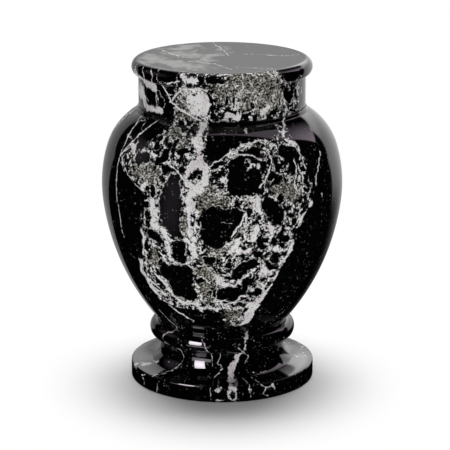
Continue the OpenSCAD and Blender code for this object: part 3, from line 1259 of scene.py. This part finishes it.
def lid_stone():
    """The material of the lid."""
    material, tree, surface, place, label, front = new_stone("lid marble")
    part = parts_of(tree, place)
    on_top = math_node(tree, "GREATER_THAN", part["Z"], TOP_Z - 0.3)
    plan = vector_of(tree, part["X"], part["Y"], 0.0)
    ripple = noise(tree, place, 9.0, 3.0).outputs["Color"]
    ripple = vector_node(tree, "SUBTRACT", ripple, (0.5, 0.5, 0.5)).outputs[0]
    ripple = vector_node(tree, "MULTIPLY", ripple, (6.0, 6.0, 0.0)).outputs[0]
    plan = vector_node(tree, "ADD", plan, ripple).outputs[0]

    back_rubble, back_vein = back_fields(tree, place)
    rubble = band(tree, label, LID_LEFT_BANK, LID_RIGHT_BANK)
    rubble = take_over(tree, front, rubble, back_rubble)
    rubble = take_over(tree, on_top, NO_MARK, rubble)
    calcite = take_over(tree, front, strokes(tree, label, LID_CALCITE), 9.0)
    calcite = take_over(tree, on_top, NO_MARK, calcite)
    island = take_over(tree, on_top, NO_MARK, strokes(tree, label, LID_ISLANDS))
    side_vein = take_over(tree, front, strokes(tree, label, LID_VEINS), back_vein)
    vein = take_over(tree, on_top, strokes(tree, plan_in_label(tree, plan), TOP_VEINS), side_vein)
    cloud = strokes(tree, plan_in_label(tree, plan), TOP_CLOUDS)
    billow = noise(tree, place, 15.0, 6.0, 0.65, 1.0).outputs["Fac"]
    billow = times_plus(tree, billow, 110.0, -55.0)
    haze = fade(tree, plus(tree, cloud, billow), 18.0, -8.0, 0.0, 0.6)
    haze = times(tree, on_top, haze)
    fields = {
        "Place": place,
        "Rubble": rubble,
        "Olive": strokes(tree, label, LID_OLIVE),
        "Calcite": calcite,
        "Island": island,
        "Vein": vein,
        "Haze": haze,
    }
    finish_stone(tree, surface, fields)
    return material


print("lid:")
LID_STONE = lid_stone()

# %% [markdown]
# ## Turning the two pieces
# The lid is turned in steps of three quarters of a degree, so even its rim looks round up close.
# The body has a much longer outline, so it gets somewhat longer steps, which keeps its mesh
# light. Each piece rides on the root, replaces its construction node, and fills the marble slot.

# %% The body and the lid
BODY_TURN_STEPS = 340
LID_TURN_STEPS = 480

body = turn_piece("urn_body", BODY_OUTLINE, BODY_TURN_STEPS, BODY_STONE)
lid = turn_piece("urn_lid", LID_OUTLINE, LID_TURN_STEPS, LID_STONE)
for piece, node in ((body, "body"), (lid, "lid")):
    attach(piece, "root")
    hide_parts(node)

# %% [markdown]
# ## The surroundings
# Polished black stone is a mirror, so it looks like whatever stands round it. Two different
# surroundings are needed at once. Matt surfaces see plain even light. Mirror rays see a studio
# that is bright behind the urn and dark in front, with a large softbox up on the right and soft
# lamps on the left. One group answers for the world and for the floor alike: given a direction
# from the urn, it returns how bright a mirror sees it. A direction is read as a turn from
# straight behind, positive to the right, and a rise over the horizon, both in degrees.

# %% What stands behind the urn


def wall_behind(tree, turn, rise):
    """How bright the back of the studio is in a direction."""
    # The left end leans in as it rises. The right wall grows brighter and harder-edged as it
    # rises, up to its top.
    lean = times(tree, larger(tree, rise, 0.0), 0.7)
    left = fade(tree, minus(tree, turn, lean), -50, -48, 0.0, 0.42)
    crisp = fade(tree, times_plus(tree, rise, 0.3, turn), 55.5, 51.5)
    crisp = times(tree, crisp, fade(tree, rise, 28.0, 25.5))
    right = between(tree, fade(tree, rise, -22, -8), fade(tree, turn, 62, 25), crisp)
    bright = plus(tree, fade(tree, rise, -34, 4, 0.1, 1.0), fade(tree, rise, 12, 24, 0.0, 0.8))
    right = times(tree, right, bright)
    behind = between(tree, fade(tree, turn, 3, 9), left, right)
    glow = fade(tree, math_node(tree, "ABSOLUTE", turn), 30, 8, 0.0, 0.85)
    glow = times(tree, glow, fade(tree, rise, 7, 19))
    return plus(tree, behind, glow)


print("the wall behind ends 50 degrees to the left and about 55 to the right")

# %% [markdown]
# ## The softbox
# The softbox has straight edges, and a straight edge seen from the urn is a plane through it. So
# each edge is a direction: places on its side of the plane are in, the others out. A dimmer tail
# runs from the box to the left, over the urn's head, and ends in a thin line.

# %% The softbox
BOX_EDGES = ((-0.588, 0.665, 0.46), (-0.052, -0.5175, 0.854), (0, 1, 0))
TAIL_EDGE = (0.9945, -1.0, -0.1519)
BOX_LEVEL = 2.2
TAIL_LEVEL = 1.1


def beyond(tree, unit, edge):
    """One on the inner side of a straight edge, zero on the other."""
    side = vector_node(tree, "DOT_PRODUCT", unit, edge).outputs["Value"]
    return fade(tree, side, -0.01, 0.02)


def softbox_of(tree, unit, part):
    """How bright the softbox and its tail are in a direction."""
    box = None
    for edge in BOX_EDGES:
        side = beyond(tree, unit, edge)
        box = side if box is None else times(tree, box, side)
    box = times(tree, box, fade(tree, part["X"], 0.45, 0.85, 0.0, BOX_LEVEL))
    tail = beyond(tree, unit, TAIL_EDGE)
    tail = times(tree, tail, fade(tree, part["Y"], -0.02, 0.02, 0.0, TAIL_LEVEL))
    thin = fade(tree, distance_from(tree, part["Y"], 0.02), 0.045, 0.015)
    thin = times(tree, thin, fade(tree, part["Z"], 0.90, 0.94))
    tail = times(tree, tail, fade(tree, part["X"], 0.66, 0.52))
    tail = times(tree, tail, fade(tree, part["Z"], 0.60, 0.75))
    return larger(tree, box, larger(tree, tail, thin))


print("softbox:", len(BOX_EDGES), "edges, level", BOX_LEVEL)

# %% [markdown]
# ## All of it together
# Two soft lamps on the left finish the studio. Each is a blurred rectangle. Lamps and softbox
# have a faintly pink light, and the wall behind is neutral.

# %% The mirror surroundings
# Turn, softness, rise, softness, width, half height, level
SOFT_LAMPS = [(-134, 14, -8, 16, 3, 10, 0.26), (-80, 25, 22, 12, 10, 6, 0.3)]
LAMP_GREEN = 0.85


def soft_lamps(tree, turn, rise):
    """How bright the soft lamps are in a direction."""
    total = None
    for turn_at, soft_turn, rise_at, soft_rise, wide, high, level in SOFT_LAMPS:
        off_turn = distance_from(tree, turn, turn_at)
        off_rise = distance_from(tree, rise, rise_at)
        inside = times(
            tree,
            fade(tree, off_turn, wide / 2 + soft_turn, wide / 2),
            fade(tree, off_rise, high + soft_rise, high),
        )
        inside = times(tree, inside, level)
        total = inside if total is None else plus(tree, total, inside)
    return total


def build_surroundings():
    """Direction in, brightness for mirror rays out."""
    tree, start, end = new_group(
        "surroundings",
        "ShaderNodeTree",
        [("Direction", "NodeSocketVector", None)],
        [("Color", "NodeSocketColor")],
    )
    unit = vector_node(tree, "NORMALIZE", start.outputs["Direction"]).outputs[0]
    part = parts_of(tree, unit)
    turn = times(tree, math_node(tree, "ARCTAN2", part["X"], part["Y"]), math.degrees(1))
    rise = times(tree, math_node(tree, "ARCSINE", part["Z"]), math.degrees(1))
    behind = wall_behind(tree, turn, rise)
    softbox = softbox_of(tree, unit, part)
    total = plus(tree, soft_lamps(tree, turn, rise), softbox)
    lamps = vector_of(tree, total, times(tree, total, LAMP_GREEN), total)
    both = vector_node(tree, "ADD", lamps, behind).outputs[0]
    tree.links.new(both, end.inputs["Color"])
    return tree


SURROUNDINGS = build_surroundings()
print("surroundings group:", len(SURROUNDINGS.nodes), "nodes,", len(SOFT_LAMPS), "soft lamps")

# %% [markdown]
# ## The world
# The world is white for the camera, the surroundings group for mirror rays, and an even grey for
# matt surfaces. The Light Path node tells these rays apart.

# %% World
AMBIENT = 0.14
PURE_WHITE = (1, 1, 1, 1)


def mix_shaders(tree, share, first, second):
    """The first shader where the share is zero, and the second where it is one."""
    inputs = {0: share, 1: first.outputs[0], 2: second.outputs[0]}
    return make(tree, "ShaderNodeMixShader", inputs)


def lit(tree, kind, color, strength=1.0):
    """A Background or Emission node."""
    return make(tree, kind, {"Color": color, "Strength": strength})


def build_world():
    """One world for three kinds of rays."""
    world = bpy.data.worlds.new("studio")
    world.use_nodes = True
    tree = world.node_tree
    tree.nodes.clear()
    target = make(tree, "ShaderNodeOutputWorld")
    path = make(tree, "ShaderNodeLightPath").outputs
    around = make(tree, "ShaderNodeTexCoord").outputs["Object"]
    group = make(tree, "ShaderNodeGroup", {"Direction": around}, node_tree=SURROUNDINGS)
    even = lit(tree, "ShaderNodeBackground", PURE_WHITE, AMBIENT)
    mirror = lit(tree, "ShaderNodeBackground", group.outputs["Color"])
    white = lit(tree, "ShaderNodeBackground", PURE_WHITE)
    seen = mix_shaders(tree, path["Is Glossy Ray"], even, mirror)
    seen = mix_shaders(tree, path["Is Camera Ray"], seen, white)
    tree.links.new(seen.outputs[0], target.inputs["Surface"])
    bpy.context.scene.world = world


build_world()
print("even light on matt surfaces:", AMBIENT)

# %% [markdown]
# ## The floor
# The floor is matt and nearly white, and catches the soft shadow. Mirror rays see the
# surroundings group on it instead, so the stone's lower half reflects the same studio. Away from
# the urn the floor melts into the white backdrop for the camera.

# %% Floor
FLOOR_SIZE = 8.0
FLOOR_WHITE = (0.9, 0.9, 0.9, 1)
# The shadow's patch is an oval: full up to the first distance and gone at the second, in metres.
SHADOW_OVAL = (1.15, 0.9, 0)
SHADOW_FULL, SHADOW_GONE = 0.075, 0.19


def floor_material():
    """Matt white near the urn, backdrop white further off, and a studio for mirror rays."""
    material = bpy.data.materials.new("floor")
    material.use_nodes = True
    tree = material.node_tree
    tree.nodes.clear()
    target = make(tree, "ShaderNodeOutputMaterial")
    path = make(tree, "ShaderNodeLightPath").outputs
    place = make(tree, "ShaderNodeTexCoord").outputs["Object"]
    group = make(tree, "ShaderNodeGroup", node_tree=SURROUNDINGS)
    from_belly = vector_node(tree, "SUBTRACT", place, (0, 0, BELLY_Z * MM)).outputs[0]
    tree.links.new(from_belly, group.inputs["Direction"])
    matt = make(tree, "ShaderNodeBsdfDiffuse", {"Color": FLOOR_WHITE})
    mirror = lit(tree, "ShaderNodeEmission", group.outputs["Color"])
    seen = mix_shaders(tree, path["Is Glossy Ray"], matt, mirror)
    reach = vector_node(tree, "MULTIPLY", place, SHADOW_OVAL).outputs[0]
    reach = vector_node(tree, "LENGTH", reach).outputs["Value"]
    open_floor = fade(tree, reach, SHADOW_FULL, SHADOW_GONE)
    open_floor = times(tree, open_floor, path["Is Camera Ray"])
    white = lit(tree, "ShaderNodeEmission", PURE_WHITE)
    seen = mix_shaders(tree, open_floor, seen, white)
    tree.links.new(seen.outputs[0], target.inputs["Surface"])
    return material


def build_floor():
    """A square sheet under the urn, on the stage and not part of the urn."""
    mesh = bpy.data.meshes.new("floor")
    half = FLOOR_SIZE / 2
    corners = [(-half, -half, 0), (half, -half, 0), (half, half, 0), (-half, half, 0)]
    mesh.from_pydata(corners, [], [(0, 1, 2, 3)])
    floor = bpy.data.objects.new("floor", mesh)
    bpy.context.scene.collection.objects.link(floor)
    mesh.materials.append(floor_material())
    return floor


build_floor()
print("floor:", FLOOR_SIZE, "m square")

# %% [markdown]
# ## Lamps
# Two area lamps do the rest: a large one overhead and a weaker one in front. They are hidden from
# mirror rays, because the surroundings group already holds what a mirror should see. Two low
# cards are the opposite: only mirror rays see them, and only from the cove, the bead and the
# foot's edge, because they are turned to these and their beams are narrow.

# %% Lamps
CARD_BEAM = math.radians(90)
CARD_COLOUR = (1.0, 0.92, 1.0)


def add_lamp(name, place, size, power, aim):
    """A rectangular lamp turned to a point. Metres and watts."""
    data = bpy.data.lights.new(name, "AREA")
    data.shape = "RECTANGLE"
    data.size, data.size_y = size
    data.energy = power
    lamp = bpy.data.objects.new(name, data)
    lamp.location = place
    lamp.rotation_euler = (Vector(aim) - Vector(place)).to_track_quat("-Z", "Y").to_euler()
    lamp.visible_glossy = False
    bpy.context.scene.collection.objects.link(lamp)
    print(name, "lamp:", power, "W")
    return lamp


def add_card(name, place, size, power, aim):
    """A lamp that only mirror rays see, within a narrow beam."""
    card = add_lamp(name, place, size, power, aim)
    card.data.spread = CARD_BEAM
    card.data.color = CARD_COLOUR
    card.visible_glossy = True
    card.visible_diffuse = False
    card.visible_camera = False


add_lamp("overhead", (0, 0.5, 1.6), (1.6, 1.2), 34.0, (0, 0, 0))
add_lamp("front", (0, -2.4, 0.55), (1.0, 0.5), 18.0, (0, 0, 0.15))
add_card("low card", (-0.098, -0.139, 0.045), (0.050, 0.078), 0.07, (-0.019, -0.050, 0.023))
add_card("foot card", (-0.0502, -0.0912, 0.013), (0.052, 0.014), 0.0022, (-0.019, -0.050, 0.027))

# %% [markdown]
# ## Camera
# The camera stands well back with a long lens and looks slightly down on the lid. A long lens
# keeps the urn's outline close to its true shape.

# %% Camera
CAMERA_PLACE = (0.0024, -1.7178, 0.6016)
CAMERA_LENS = 170.2
CAMERA_SENSOR = 36
LOOKS_DOWN = 15.36

camera_data = bpy.data.cameras.new("camera")
camera_data.sensor_width = CAMERA_SENSOR
camera_data.lens = CAMERA_LENS
camera = bpy.data.objects.new("camera", camera_data)
camera.location = CAMERA_PLACE
camera.rotation_euler = (math.radians(90 - LOOKS_DOWN), 0, 0)
bpy.context.scene.collection.objects.link(camera)
bpy.context.scene.camera = camera
bpy.context.scene.view_settings.view_transform = "Standard"
print("camera:", CAMERA_LENS, "mm lens, looking down by", LOOKS_DOWN, "degrees")
